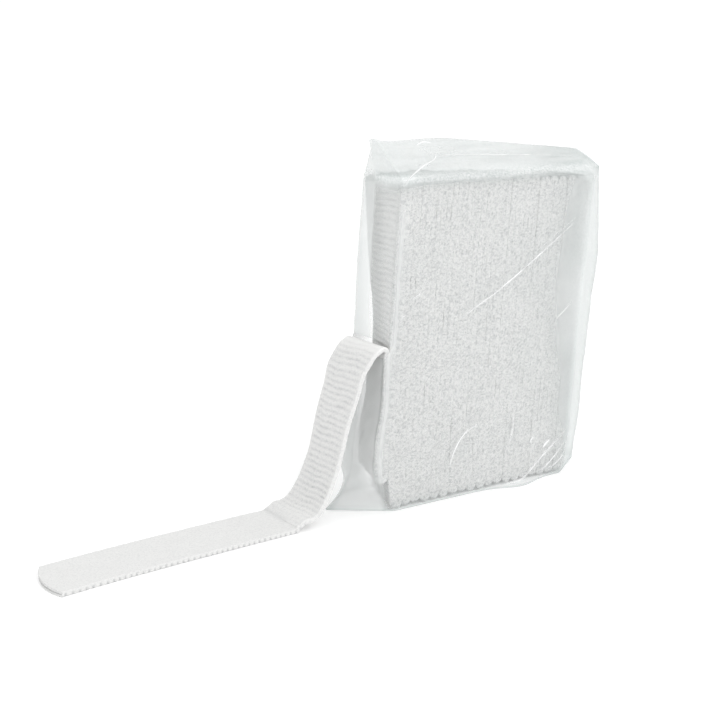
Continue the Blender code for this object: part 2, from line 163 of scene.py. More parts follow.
PRESS_LENGTH = 4.0          # the pressed shape begins over this length behind the slit
RIB_BOW = 0.08              # a rib bows to and fro by this share of the spacing
BOW_TURN = 0.5
BOW_SWAY = 0.7
RIB_WAVER = 0.13            # and wavers at random by this one
LOOP_PITCH = 0.95           # small loops side by side on each rib
LOOP_SWAY = 1.1
LOOP_DEPTH = 0.05
LOOP_LEFT = 0.15            # share of their depth that is left where the ribs are flat
STITCH_DEPTH = 0.035        # finest unevenness of the surface
CUT_BULGE = 2.0             # the middle of the cut end lies this far beyond its corners
LAYER_FILL = 1.16           # thickness of a pressed layer as a share of its spacing
LAYER_WANDER = 0.05         # single layers sway by this much towards their neighbours
LOOSE_LENGTH = 10.0         # growing over this length behind the slit
EDGE_WANDER = 0.05          # and their edges sideways
FREE_WANDER = 0.35          # share of that on the free end
EDGE_GRAIN = 0.05           # unevenness of the stitches along the side edges
EDGE_STEP = 0.03            # and of whole ribs there
THICKNESS_CHANGE = 0.03
SEEN_DRIFT = 0.35           # share of the layers' sideways shifts that shows, as the film evens them out
LAYER_PARTING = 0.22        # neighbouring layers stand apart by twice this here and there
PARTING_LEVEL = 0.66        # where a random wave is above this level
PARTING_RANGE = 0.3
PATH_STEP = 0.35
TANGENT_STEP = 0.12
FOLD_STEPS = 10

# Random waves: share, length in mm and seed
PHASE_WAVES = ((0.8, 37.0, 14), (0.12, 5.0, 5), (0.06, 1.3, 6))
SWAY_WAVES = ((1.0, 11.0, 1), (0.5, 4.3, 2))
SHIFT_WAVES = ((1.0, 6.0, 3), (0.7, 2.1, 4))
BOW_WAVE = (9.0, 7)
PARTING_WAVE = (9.0, 12)
THICKNESS_WAVE = (14.0, 9)
EDGE_STEP_WAVE = (1.0, 11)
EDGE_STEP_TURN = 3.7

# Random fields: size of a cell across, size of a cell along, and seed
WAVER_FIELD = (3.4, 5.0, 8)
UNEVEN_FIELD = (2.2, 1.6, 15)
STITCH_FIELD = (0.5, 0.6, 10)
SOFT_FIELD = (7.0, 9.0, 22)

# Marks of the knit for its material
PIT_PRESSED = 0.28          # painted shade in the broken valleys in the stack
PIT_FREE = 0.34             # and along the free end
BROKEN_SHARE = 0.25         # share of that darkness which a valley has on average
BROKEN_CHANGE = 1.1         # and how much it changes at random
BROKEN_CELL = 1.1
BROKEN_TURN = 3.1
BROKEN_SEED = 16
SIDE_HOLES = 0.60           # painted shade in the small holes at the edges of pressed layers
HOLE_LEVEL = 0.38           # a hole lies where a random field is above this level
HOLE_RANGE = 0.4
HOLE_TURN = 1.9
HOLE_CELL = 0.36
HOLE_SEED = 17
SIDE_SHADE = 0.3            # how much painted shade darkens the cloth there
EDGE_DOT_SHADOW = 0.90            # painted shadow between the loops along the edges of the lying end
DOTS_FROM = 0.45            # which begins this far from the edge
DOTS_OVER = 0.3
DOTS_BELOW = 0.6            # and below this share of the edge's height
EDGE_TURN = 1.7
EDGE_CELL = 0.42
EDGE_SEED = 13
LYING_SHADE = 0.22          # painted shade darkens the lying end by this share
APEX_LIGHT = 1.0            # and a painted highlight lightens the highest bend
CREASE_AT = 1.3             # a soft crease crosses the tube this far behind the floor's length
CREASE_SLANT = 0.06
CREASE_WIDTH = 0.8
# painted shade in that crease
CREASE_SHADE = 0.20
CREASE_FADE = (-4.5, -1.0)  # it begins between these places across
GRAIN_FACE = 0.35           # unevenness of the shade on the flat side
GRAIN_SIDE = 0.65           # more of it at the edges of pressed layers
GRAIN_UP = 0.15             # and everywhere except on the lying end

# Open mouths of the tube
MOUTH_STEPS = (6.0, 3.0, 1.0, 0.0)      # depths of the rings inside a mouth
MOUTH_EDGE = 0.2
MOUTH_GAPE = 0.12
MOUTH_FADE = 2.0
MOUTH_FLAT = 0.25
MOUTH_CREST = 0.35          # shade inside


# Smooth steps and random waves

SOFT_STEPS = (-1.0, -0.5, 0.0, 0.5, 1.0)
LATTICE = 4096              # number of random values along a wave
LATTICE_START = 100.0
GRID = 256                  # and along each side of a random field
GRID_START = 50.0


def unit(value):
    """The value, held between 0 and 1."""
    return np.clip(value, 0.0, 1.0)


def smooth(share):
    return share * share * (3 - 2 * share)


def ease(value, low, high):
    """Smooth step from 0 at the low value to 1 at the high one."""
    return smooth(unit((value - low) / (high - low)))


def table(rows, share):
    data = np.asarray(rows, dtype=float)
    return np.interp(share, data[:, 0], data[:, 1])


def soft_table(rows, share, reach=0.03):
    """The table's value with its corners rounded off."""
    return sum(table(rows, share + reach * step) for step in SOFT_STEPS) / len(SOFT_STEPS)


def wander(along, scale, seed):
    """Smooth random wave from -1 to 1."""
    values = np.random.default_rng(seed).uniform(-1.0, 1.0, LATTICE)
    at = np.asarray(along, dtype=float) / scale + LATTICE_START
    cell = np.floor(at).astype(int)
    share = smooth(at - cell)
    return values[cell % LATTICE] * (1 - share) + values[(cell + 1) % LATTICE] * share


def random_waves(along, rows, start=0.0):
    """Sum of random waves on top of a start."""
    return sum((share * wander(along, scale, seed) for share, scale, seed in rows), start)


def wander2(u, v, seed):
    """Smooth random field from -1 to 1 over two directions."""
    grid = np.random.default_rng(seed).uniform(-1.0, 1.0, (GRID, GRID))
    u = np.asarray(u, dtype=float) + GRID_START
    v = np.asarray(v, dtype=float) + GRID_START
    column = np.floor(u).astype(int)
    row = np.floor(v).astype(int)
    right = smooth(u - column)
    below = smooth(v - row)
    first, second = (
        grid[column % GRID, step % GRID] * (1 - right) + grid[(column + 1) % GRID, step % GRID] * right
        for step in (row, row + 1)
    )
    return first * (1 - below) + second * below


def random_field(across, along, row):
    width, length, seed = row
    return wander2(across / width, along / length, seed)


# Route of the tube

def layer_x(layer, height):
    rise = np.asarray(height, dtype=float) / STACK_HEIGHT
    depth = layer / (LAYERS - 1)
    foot = (layer - (LAYERS - 1) / 2) * PITCH
    lean = (FRONT_LEAN + (BACK_LEAN - FRONT_LEAN) * depth) * rise
    bow = FRONT_BOW * (1 - depth) * np.sin(math.pi * unit(rise))
    splay = SPLAY * SPLAY_FADE ** layer * soft_table(SPLAY_LINE, rise)
    return foot + lean - bow - splay


def far_setback(layer, height):
    height = np.asarray(height, dtype=float)
    share = soft_table(SETBACK_LINE, height / STACK_HEIGHT) * (1 - layer / (LAYERS - 1))
    grown = unit((EXIT_HEIGHT - EXIT_BEND - height) / SETBACK_START)
    return FAR_SETBACK * share * np.where(np.asarray(layer) < 1, grown, 1.0)


def layer_side(layer, height):
    turn = np.atleast_1d(far_setback(layer, height) / TUBE_WIDTH)
    return np.stack([turn, np.sqrt(1.0 - turn * turn), np.zeros_like(turn)], axis=1)


def layer_middle(layer, drift, height):
    height = np.atleast_1d(np.asarray(height, dtype=float))
    half = layer_side(layer, height) * (TUBE_WIDTH / 2)
    return np.stack([
        layer_x(layer, height) + half[:, 0],
        drift + half[:, 1] - TUBE_WIDTH / 2,
        height,
    ], axis=1)


def fold_height(fold):
    if fold == 0:
        return FRONT_FOLD_HEIGHT
    swing = sum(share * math.sin(turn * fold + start) for share, turn, start in FOLD_WAVES)
    wobble = FOLD_UNEVENNESS * swing
    if fold % 2 == 0:
        return FOOT_LIFT + FOLD_UNEVENNESS + wobble
    depth = (fold + 0.5) / (LAYERS - 1)
    return STACK_HEIGHT * float(table(HEAD_LINE, depth)) - FOLD_UNEVENNESS + wobble


def fold_drift(fold):
    return SEEN_DRIFT * EDGE_DRIFT * math.sin(DRIFT_TURN * fold + DRIFT_START)


def fold_radius(fold):
    height = fold_height(fold)
    return float(layer_middle(fold + 1, 0.0, height)[0, 0] - layer_middle(fold, 0.0, height)[0, 0]) / 2


def fold_points(layer, side):
    """The half turn from a layer into the next one, with side +1 at the top and -1 at the foot."""
    radius = fold_radius(layer)
    base = fold_height(layer) - side * radius
    before = layer_middle(layer, fold_drift(layer), base)
    after = layer_middle(layer + 1, fold_drift(layer), base)
    angle = np.linspace(0.0, math.pi, FOLD_STEPS)[1:-1]
    rows = before + (after - before) * (1 - np.cos(angle))[:, None] / 2
    rows[:, 2] += side * radius * np.sin(angle)
    return rows, np.repeat(layer_side(layer + 0.5, base), len(angle), axis=0), layer + angle / math.pi


def layer_points(layer, side):
    """The straight run of a layer, with the side of the fold at its end."""
    start = EXIT_HEIGHT - EXIT_BEND
    drift = 0.0
    if layer:
        start = fold_height(layer - 1) + side * fold_radius(layer - 1)
        drift = fold_drift(layer - 1)
    end = STACK_HEIGHT * HEAD_LINE[-1][1] - PITCH / 2
    if layer < LAYERS - 1:
        end = fold_height(layer) - side * fold_radius(layer)
    steps = max(2, int(abs(end - start) / PATH_STEP))
    share = np.linspace(0.0, 1.0, steps + 1)
    height = start + (end - start) * share
    sideways = drift + (fold_drift(layer) - drift) * smooth(share)
    rows = layer_middle(layer, sideways, height)
    return rows, layer_side(layer, height), np.full(len(rows), float(layer))


def stack_route():
    """Middle line through all layers and folds, with the layer that each point belongs to."""
    parts = []
    for layer in range(LAYERS):
        side = 1 if layer % 2 else -1
        parts.append(layer_points(layer, side))
        if layer < LAYERS - 1:
            parts.append(fold_points(layer, side))
    return [np.concatenate(values) for values in zip(*parts)]


def catmull_rom(points, steps=24):
    points = np.asarray(points, dtype=float)
    ring = np.vstack([2 * points[0] - points[1], points, 2 * points[-1] - points[-2]])
    dense = []
    t = (np.arange(steps) / steps)[:, None]
    for before, start, end, after in zip(ring, ring[1:], ring[2:], ring[3:]):
        dense.append(0.5 * (
            2 * start + (end - before) * t
            + (2 * before - 5 * start + 4 * end - after) * t ** 2
            + (3 * start - before - 3 * end + after) * t ** 3
        ))
    dense.append(points[-1:])
    return np.vstack(dense)


def bend_centre():
    height = EXIT_HEIGHT - EXIT_BEND
    return np.array([float(layer_x(0, height)) - EXIT_BEND, 0.0, height])


def free_end_route():
    centre = bend_centre()
    lying = THICKNESS / 2 + RIB_DEPTH / 2 + FLOOR_LIFT
    route = []
    for share in BEND_SHARES:
        angle = EXIT_TURN * share
        route.append(centre + EXIT_BEND * np.array([math.cos(angle), 0.0, math.sin(angle)]))
    for reach, drift, height in HANG_LINE:
        fall = lying + (EXIT_HEIGHT - lying) * height
        route.append(np.array([centre[0] - HANG_REACH * reach, -HANG_DRIFT * drift, fall]))
    for along, drift in FLOOR_LINE:
        route.append(np.array([
            centre[0] - HANG_REACH - FLOOR_LENGTH * along,
            -HANG_DRIFT - FLOOR_DRIFT * drift,
            lying,
        ]))
    return catmull_rom(route)[::-1]


def arc_length(points):
    steps = np.linalg.norm(np.diff(points, axis=0), axis=1)
    return np.concatenate([[0.0], np.cumsum(steps)])


FREE = free_end_route()
STACK, STACK_SIDE, OWNERS = stack_route()
ROUTE = np.vstack([FREE[:-1], STACK])
ROUTE_AT = arc_length(ROUTE)
FREE_TURN = HANG_TWIST * np.sin(math.pi * unit(FREE[:-1, 2] / EXIT_HEIGHT) ** TWIST_SKEW)
FREE_SIDE = np.stack([np.sin(FREE_TURN), np.cos(FREE_TURN), np.zeros_like(FREE_TURN)], axis=1)
ROUTE_SIDE = np.vstack([FREE_SIDE, STACK_SIDE])


def spacing(layer, height):
    """Room for a layer between its neighbours, at its -Y and at its +Y edge."""
    near = layer_x(layer + 0.5, height) - layer_x(layer - 0.5, height)
    far = near - FAR_SETBACK * soft_table(SETBACK_LINE, height / STACK_HEIGHT) / (LAYERS - 1)
    return np.stack([near, far], axis=1)


FREE_ROOM = np.full((len(FREE) - 1, 2), (THICKNESS + RIB_DEPTH) / LAYER_FILL)
ROUTE_ROOM = np.vstack([FREE_ROOM, spacing(np.clip(OWNERS, 0, LAYERS - 1), STACK[:, 2])])
FREE_LENGTH = ROUTE_AT[len(FREE) - 1]
TOTAL_LENGTH = ROUTE_AT[-1]


def at_layer(layer, share):
    """Length along the tube at a share of a layer's run."""
    chosen = np.flatnonzero(OWNERS == layer) + len(FREE) - 1
    first, last = ROUTE_AT[chosen[0]], ROUTE_AT[chosen[-1]]
    return first + (last - first) * share


def stations(start, end, per_rib):
    count = max(4, int(round((end - start) / RIB_PITCH * per_rib)))
    return np.linspace(start, end, count + 1)


def on_route(values, along):
    return np.stack([np.interp(along, ROUTE_AT, values[:, axis]) for axis in range(3)], axis=1)


def place(along):
    """Middle points, sideways and upward directions of the tube, and the bulge of its cut end."""
    points = on_route(ROUTE, along)
    tangent = on_route(ROUTE, along + TANGENT_STEP) - on_route(ROUTE, along - TANGENT_STEP)
    tangent /= np.linalg.norm(tangent, axis=1)[:, None]
    width = on_route(ROUTE_SIDE, along)
    square = width - tangent * np.sum(width * tangent, axis=1)[:, None]
    side = np.where((along < FREE_LENGTH)[:, None], square, width)
    side /= np.linalg.norm(side, axis=1)[:, None]
    normal = np.cross(tangent, side)
    normal /= np.linalg.norm(normal, axis=1)[:, None]
    cut = unit(1.0 - along / CUT_FADE)[:, None]
    side = side + tangent * CUT_SKEW / TUBE_WIDTH * cut
    bulge = -tangent * CUT_BULGE * cut ** 2
    loose = unit((along - FREE_LENGTH) / LOOSE_LENGTH)
    sway = LAYER_WANDER * random_waves(along, SWAY_WAVES) * loose
    shift = EDGE_WANDER * random_waves(along, SHIFT_WAVES) * (FREE_WANDER + (1 - FREE_WANDER) * loose)
    points = points + normal * sway[:, None] + side * shift[:, None]
    return points, side, normal, bulge


def rib_phase(along):
    """Number of ribs up to a length along the tube."""
    return random_waves(along, PHASE_WAVES, along / RIB_PITCH)


APEX_AT = ROUTE_AT[int(np.argmax(FREE[:-1, 2]))]


def over_bend(along):
    return np.exp(-((along - APEX_AT) / APEX_FADE) ** 2)


def on_free_end(along):
    return unit((FREE_LENGTH - along) / FREE_FADE)[:, None]


def rib_strength(along, across):
    """Ribs are flattened out where the tube lies, over its highest bend and towards its edges."""
    rise = smooth(unit((along - FLOOR_LENGTH + RISE_AHEAD) / RISE_LENGTH))
    run = LYING_RIBS + (1 - LYING_RIBS) * rise
    run = run * (1 - APEX_FLAT * over_bend(along))
    edge = np.clip((TUBE_WIDTH / 2 - np.abs(across)) / EDGE_FADE, EDGE_LEFT, 1.0)
    uneven = RIB_MEAN + RIB_UNEVEN * random_field(across, along[:, None], UNEVEN_FIELD)
    return run[:, None] * (1 - on_free_end(along) * (1 - edge)) * uneven


def rib_skew(along, across):
    bow = RIB_BOW * np.sin(across * BOW_TURN + BOW_SWAY * wander(along, *BOW_WAVE)[:, None])
    return bow + RIB_WAVER * random_field(across, along[:, None], WAVER_FIELD)


def crest_of(phase):
    return np.abs(np.sin(math.pi * phase)) ** CREST_POWER


FLAT_EDGE = (               # outward and upward place of the points over a pressed layer's edge
    (0.45, -0.98), (0.97, -0.90), (1.00, -0.45), (1.00, 0.00), (1.00, 0.45), (0.97, 0.90), (0.45, 0.98),
)


def rounded(angle):
    """A point on a square-shouldered edge instead of a half circle."""
    circle = (math.cos(angle), math.sin(angle))
    return tuple(math.copysign(abs(at) ** power, at) for at, power in zip(circle, SHOULDERS))


def ring_layout(top, bottom, edge):
    """Sideways, outward and upward place of each ring point, from the foot of the +side edge on."""
    if edge:
        angles = [-math.pi / 2 + math.pi * (step + 0.5) / edge for step in range(edge)]
        profile = [rounded(angle) for angle in angles]
    else:
        profile = FLAT_EDGE
    rows = [(1.0, out, up) for out, up in profile]
    for step in range(top):
        rows.append((1.0 - 2.0 * step / (top - 1), 0.0, 1.0))
    rows.extend((-1.0, -out, -up) for out, up in profile)
    for step in range(bottom):
        rows.append((-1.0 + 2.0 * step / (bottom - 1), 0.0, -1.0))
    return np.array(rows)


def half_thickness(along, across, pressed):
    """Half of the room that a layer fills, from its middle to its crests."""
    near, far = (np.interp(along, ROUTE_AT, ROUTE_ROOM[:, side_edge]) for side_edge in (0, 1))
    toward_far = across / TUBE_WIDTH + 0.5
    room = near[:, None] + (far - near)[:, None] * toward_far
    parting = unit((wander(along, *PARTING_WAVE) - PARTING_LEVEL) / PARTING_RANGE)[:, None] * pressed
    change = THICKNESS_CHANGE * wander(along, *THICKNESS_WAVE)
    return room * LAYER_FILL / 2 * (1 + change)[:, None] - LAYER_PARTING * parting


def crest_to_surface(along, across, phase, strength):
    """How far the surface lies below the crests, in valleys, between loops and between stitches."""
    crest = crest_of(phase)
    sway = LOOP_SWAY * np.sin(2 * math.pi * phase)
    loops = 0.5 + 0.5 * np.cos(2 * math.pi * across / LOOP_PITCH + sway)
    lower = CREST_DEPTH * (1 - crest) * strength
    lower = lower + LOOP_DEPTH * (1 - loops) * crest * unit(strength + LOOP_LEFT)
    return lower + STITCH_DEPTH * random_field(across, along[:, None], STITCH_FIELD)


def edge_shift(along, up, crest, lying):
    """How far the points at the side edges stand out."""
    shift = (EDGE_BUMP + (PICOT - EDGE_BUMP) * lying) * (crest - 0.5)
    shift = shift + EDGE_GRAIN * wander2(up * EDGE_TURN, along[:, None] / EDGE_CELL, EDGE_SEED)
    whole_ribs = np.floor(rib_phase(along)) * EDGE_STEP_TURN
    return shift + EDGE_STEP * wander(whole_ribs, *EDGE_STEP_WAVE)[:, None]


def knit_marks(along, across, up, phase, strength, at_side, lying):
    """Painted shade in pits, holes, a crease and between edge loops; grain of the random specks; and how near
    the surface is to a crest, with painted shade and a painted highlight.
    """
    run = along[:, None]
    crest = crest_of(phase)
    shown = unit(strength)
    # painted shade in the broken rib valleys
    breaks = wander2(across / BROKEN_CELL, np.round(phase) * BROKEN_TURN, BROKEN_SEED)
    broken = unit(BROKEN_SHARE + BROKEN_CHANGE * breaks)
    broken = broken * (PIT_PRESSED + (PIT_FREE - PIT_PRESSED) * on_free_end(along))
    # painted shadow between the loops at the lying end's edges
    at_edge = unit((np.abs(across) - TUBE_WIDTH / 2 + DOTS_FROM) / DOTS_OVER)
    dot_shadow = EDGE_DOT_SHADOW * lying * at_edge * unit(DOTS_BELOW - up)
    pit_shade = (1 - crest) ** 2 * np.maximum(broken * shown, dot_shadow)
    # painted shade in small holes at the edges of pressed layers
    holes = wander2(up * HOLE_TURN + across, run / HOLE_CELL, HOLE_SEED)
    holes = np.clip(holes - HOLE_LEVEL, 0.0, HOLE_RANGE) / HOLE_RANGE
    pit_shade = np.maximum(pit_shade, SIDE_HOLES * holes * at_side)
    # painted shade in a soft crease
    fold = np.exp(-((run - FLOOR_LENGTH - CREASE_AT - CREASE_SLANT * across) / CREASE_WIDTH) ** 2)
    pit_shade = np.maximum(pit_shade, CREASE_SHADE * fold * ease(across, *CREASE_FADE) * (up > 0))
    # painted shade at the edges of pressed layers and on the lying end, painted highlight over the highest
    # bend
    crest_and_painted_light = (1 - (1 - crest) * shown) * (1 - SIDE_SHADE * at_side)
    crest_and_painted_light = crest_and_painted_light * (1 - LYING_SHADE * lying) + APEX_LIGHT * over_bend(along)[:, None] * (up > 0)
    grain = GRAIN_FACE + GRAIN_SIDE * at_side + GRAIN_UP * (1 - lying)
    return np.stack([pit_shade, grain, crest_and_painted_light], axis=2)


def around(route, across, offset):
    """Points around the tube, from their places across it and above its middle."""
    middle, side, normal, bulge = (values[:, None, :] for values in route)
    dome = 1.0 - (across / (TUBE_WIDTH / 2)) ** 2
    return middle + side * across[..., None] + normal * offset[..., None] + bulge * dome[..., None]


def tube_points(along, layout):
    flat, out, up = layout[:, 0], layout[:, 1], layout[:, 2]
    across = flat[None, :] * (TUBE_WIDTH / 2 - EDGE_RADIUS) + out[None, :] * EDGE_RADIUS
    phase = rib_phase(along)[:, None] + rib_skew(along, across)
    pressed = unit((along - FREE_LENGTH) / PRESS_LENGTH)[:, None]
    at_side = unit((np.abs(across) - TUBE_WIDTH / 2 + SIDE_FROM) / SIDE_OVER) * pressed
    lying = unit((FLOOR_LENGTH + LYING_FADE - along) / LYING_FADE)[:, None]
    strength = rib_strength(along, across) * (1 - SIDE_FADE * at_side)
    thick = half_thickness(along, across, pressed) - crest_to_surface(along, across, phase, strength)
    across = across + out[None, :] * edge_shift(along, up, crest_of(phase), lying)
    points = around(place(along), across, up[None, :] * thick)
    return points, knit_marks(along, across, up, phase, strength, at_side, lying)


MARKS = "marks"             # the mesh attribute that carries the marks to a material


def add_object(name, data):
    made = bpy.data.objects.new(name, data)
    bpy.context.scene.collection.objects.link(made)
    return made


def add_mesh(name, points, faces, marks, material):
    mesh = bpy.data.meshes.new(name)
    mesh.from_pydata((points.reshape(-1, 3) * MM).tolist(), [], faces)
    mesh.shade_smooth()
    values = mesh.attributes.new(MARKS, "FLOAT_VECTOR", "POINT")
    values.data.foreach_set("vector", marks.reshape(-1).astype(np.float32))
    mesh.materials.append(material)
    return add_object(name, mesh)


def closed_faces(rows, columns):
    """Faces of a closed skin over rings of points, with flat ends."""
    index = np.arange(rows * columns).reshape(rows, columns)
    following = np.roll(index, -1, axis=1)
    quads = np.stack([index[:-1], following[:-1], following[1:], index[1:]], axis=2).reshape(-1, 4)
    return quads.tolist() + [index[0, ::-1].tolist(), index[-1].tolist()]


# Materials

MIX_LOW, MIX_HIGH, MIX_RESULT = 6, 7, 2     # sockets of the colour mix node
KNIT_PATCHES = (260.0, 3.0, 0.6)            # noise: scale, detail and roughness
KNIT_FUZZ = (2300.0, 2.0, 0.7)
FILM_FUZZ = (1900.0, 2.0, 0.7)
KNIT_DULL = (0.755, 0.755, 0.745)
KNIT_PLAIN = (0.80, 0.80, 0.79)
# painted shade in the rib valleys, also the colour of random specks
KNIT_SHADE_AND_SPECKS = (0.60, 0.605, 0.61)
# painted highlight over the highest bend
KNIT_HIGHLIGHT = (0.88, 0.88, 0.87)
# painted shade in pits, holes, a crease and between edge loops
KNIT_PIT_SHADE = (0.34, 0.35, 0.36)
PIT_COVER = 0.8
SPECK_LEVEL = 0.50          # a speck shows where the fuzz is above this level
SPECK_CONTRAST = 7.0
KNIT_ROUGHNESS = 0.95
KNIT_SPECULAR = 0.15
BUMP_STRENGTH = 0.45
BUMP_DISTANCE = 0.00015
FILM_GREY = (0.50, 0.55, 0.54)
# the film's whiteness, also used for painted highlights
FILM_WHITE = (0.98, 0.99, 0.99)
FILM_GRAIN = 2.2
FILM_ROUGHNESS = 0.26


class Nodes:
    """Short ways to add and link shader nodes."""

    def __init__(self, name):
        self.material = bpy.data.materials.new(name)
        self.material.use_nodes = True
        self.tree = self.material.node_tree
        self.shader = self.tree.nodes["Principled BSDF"]

    def node(self, kind, **settings):
        made = self.tree.nodes.new(kind)
        for key, value in settings.items():
            setattr(made, key, value)
        return made

    def link(self, source, target):
        self.tree.links.new(source, target)

    def math(self, operation, a, b, c=None, clamp=False):
        made = self.node("ShaderNodeMath", operation=operation, use_clamp=clamp)
        for slot, value in enumerate((a, b, c)):
            if value is None:
                continue
            if isinstance(value, (int, float)):
                made.inputs[slot].default_value = value
            else:
                self.link(value, made.inputs[slot])
        return made.outputs[0]

    def marks(self):
        carried = self.node("ShaderNodeAttribute", attribute_name=MARKS)
        parts = self.node("ShaderNodeSeparateXYZ")
        self.link(carried.outputs["Vector"], parts.inputs[0])
        return parts.outputs

    def noise(self, vector, settings):
        made = self.node("ShaderNodeTexNoise")
        self.link(vector, made.inputs["Vector"])
        for socket, value in zip(("Scale", "Detail", "Roughness"), settings):
            made.inputs[socket].default_value = value
        return made.outputs["Fac"]

    def blend(self, share, low, high):
        made = self.node("ShaderNodeMix", data_type="RGBA")
        self.link(share, made.inputs["Factor"])
        for socket, value in ((made.inputs[MIX_LOW], low), (made.inputs[MIX_HIGH], high)):
            if isinstance(value, tuple):
                socket.default_value = (*value, 1.0)
            else:
                self.link(value, socket)
        return made.outputs[MIX_RESULT]

    def bump(self, height, strength, distance):
        made = self.node("ShaderNodeBump")
        made.inputs["Strength"].default_value = strength
        made.inputs["Distance"].default_value = distance
        self.link(height, made.inputs["Height"])
        self.link(made.outputs["Normal"], self.shader.inputs["Normal"])


def knit_material():
    make = Nodes("cotton_knit")
    pit_shade, grain, crest = make.marks()
    spot = make.node("ShaderNodeTexCoord").outputs["Object"]
    patches = make.noise(spot, KNIT_PATCHES)
    fuzz = make.noise(spot, KNIT_FUZZ)
    # crest marks above 1 are a painted highlight
    highlight = make.math("SUBTRACT", crest, 1.0, clamp=True)
    # painted shade in the rib valleys, mottled, plus random specks
    valley = make.math("SUBTRACT", 1.0, crest, clamp=True)
    shade_and_specks = make.math("MULTIPLY", valley, fuzz)
    specks = make.math("MULTIPLY", make.math("SUBTRACT", fuzz, SPECK_LEVEL), SPECK_CONTRAST, clamp=True)
    shade_and_specks = make.math("ADD", shade_and_specks, make.math("MULTIPLY", specks, grain), clamp=True)
    colour = make.blend(shade_and_specks, make.blend(patches, KNIT_DULL, KNIT_PLAIN), KNIT_SHADE_AND_SPECKS)
    colour = make.blend(highlight, colour, KNIT_HIGHLIGHT)
    # painted shade in pits, holes, a crease and between edge loops
    colour = make.blend(make.math("MULTIPLY", pit_shade, PIT_COVER, clamp=True), colour, KNIT_PIT_SHADE)
    make.link(colour, make.shader.inputs["Base Color"])
    make.shader.inputs["Roughness"].default_value = KNIT_ROUGHNESS
    make.shader.inputs["Specular IOR Level"].default_value = KNIT_SPECULAR
    make.bump(fuzz, BUMP_STRENGTH, BUMP_DISTANCE)
    return make.material


def film_material():
    make = Nodes("clear_film")
    white, veil, grain = make.marks()
    spot = make.node("ShaderNodeTexCoord").outputs["Object"]
    fuzz = make.math("SUBTRACT", make.noise(spot, FILM_FUZZ), 0.5)
    white = make.math("MULTIPLY_ADD", fuzz, make.math("MULTIPLY", grain, FILM_GRAIN), white, clamp=True)
    make.link(make.blend(white, FILM_GREY, FILM_WHITE), make.shader.inputs["Base Color"])
    make.link(veil, make.shader.inputs["Alpha"])
    make.shader.inputs["Roughness"].default_value = FILM_ROUGHNESS
    return make.material


# Bandage pieces

KNIT = knit_material()
FILM = film_material()


def mouth_points(at, inward, layout):
    """Rings of the open mouth, from deep inside the tube out to its cut rim."""
    depth = np.array(MOUTH_STEPS)
    across = layout[:, 0] * (TUBE_WIDTH / 2 - EDGE_RADIUS) + layout[:, 1] * MOUTH_EDGE
    dome = 1.0 - (across / (TUBE_WIDTH / 2)) ** 2
    gape = LUMEN / 2 + MOUTH_GAPE * np.exp(-depth / MOUTH_FADE)
    offset = layout[None, :, 2] * gape[:, None] * (MOUTH_FLAT + (1 - MOUTH_FLAT) * dome)[None, :]
    plain = np.zeros(offset.shape)
    marks = np.stack([plain, plain, plain + MOUTH_CREST], axis=2)
    return around(place(at + inward * depth), across[None, :], offset), marks


def add_tube_piece(name, start, end, per_rib, layout):
    points, marks = tube_points(stations(start, end, per_rib), layout)
    if start == 0.0:
        inner, inner_marks = mouth_points(start, 1.0, layout)
        points = np.concatenate([inner, points])
        marks = np.concatenate([inner_marks, marks])
    if end == TOTAL_LENGTH:
        inner, inner_marks = mouth_points(end, -1.0, layout)
        points = np.concatenate([points, inner[::-1]])
        marks = np.concatenate([marks, inner_marks[::-1]])
    piece = add_mesh(name, points, closed_faces(*points.shape[:2]), marks, KNIT)
    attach(piece, "root")
    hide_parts("bandage")


FINE = ring_layout(top=62, bottom=14, edge=9)
MIDDLE = ring_layout(top=26, bottom=26, edge=6)
PLAIN = ring_layout(top=2, bottom=2, edge=0)
RINGS_SEEN = 8              # rings of points for each rib
RINGS_STACK = 6

TUBE_PIECES = (             # name, where it ends along the tube, rings for each rib, points of a ring
    ("bandage_free_end", at_layer(0, 0.08), RINGS_SEEN, FINE),
    ("bandage_front", at_layer(2, 0.5), RINGS_SEEN, MIDDLE),
    ("bandage_layers_front", at_layer(14, 0.5), RINGS_STACK, PLAIN),
    ("bandage_layers_middle", at_layer(26, 0.5), RINGS_STACK, PLAIN),
    ("bandage_layers_back", at_layer(38, 0.5), RINGS_STACK, PLAIN),
    ("bandage_back", TOTAL_LENGTH, RINGS_STACK, MIDDLE),
)
TUBE_STARTS = (0.0, *(row[1] for row in TUBE_PIECES))

for piece_start, (piece_name, piece_end, rings, ring) in zip(TUBE_STARTS, TUBE_PIECES):
    add_tube_piece(piece_name, piece_start, piece_end, rings, ring)


# Film

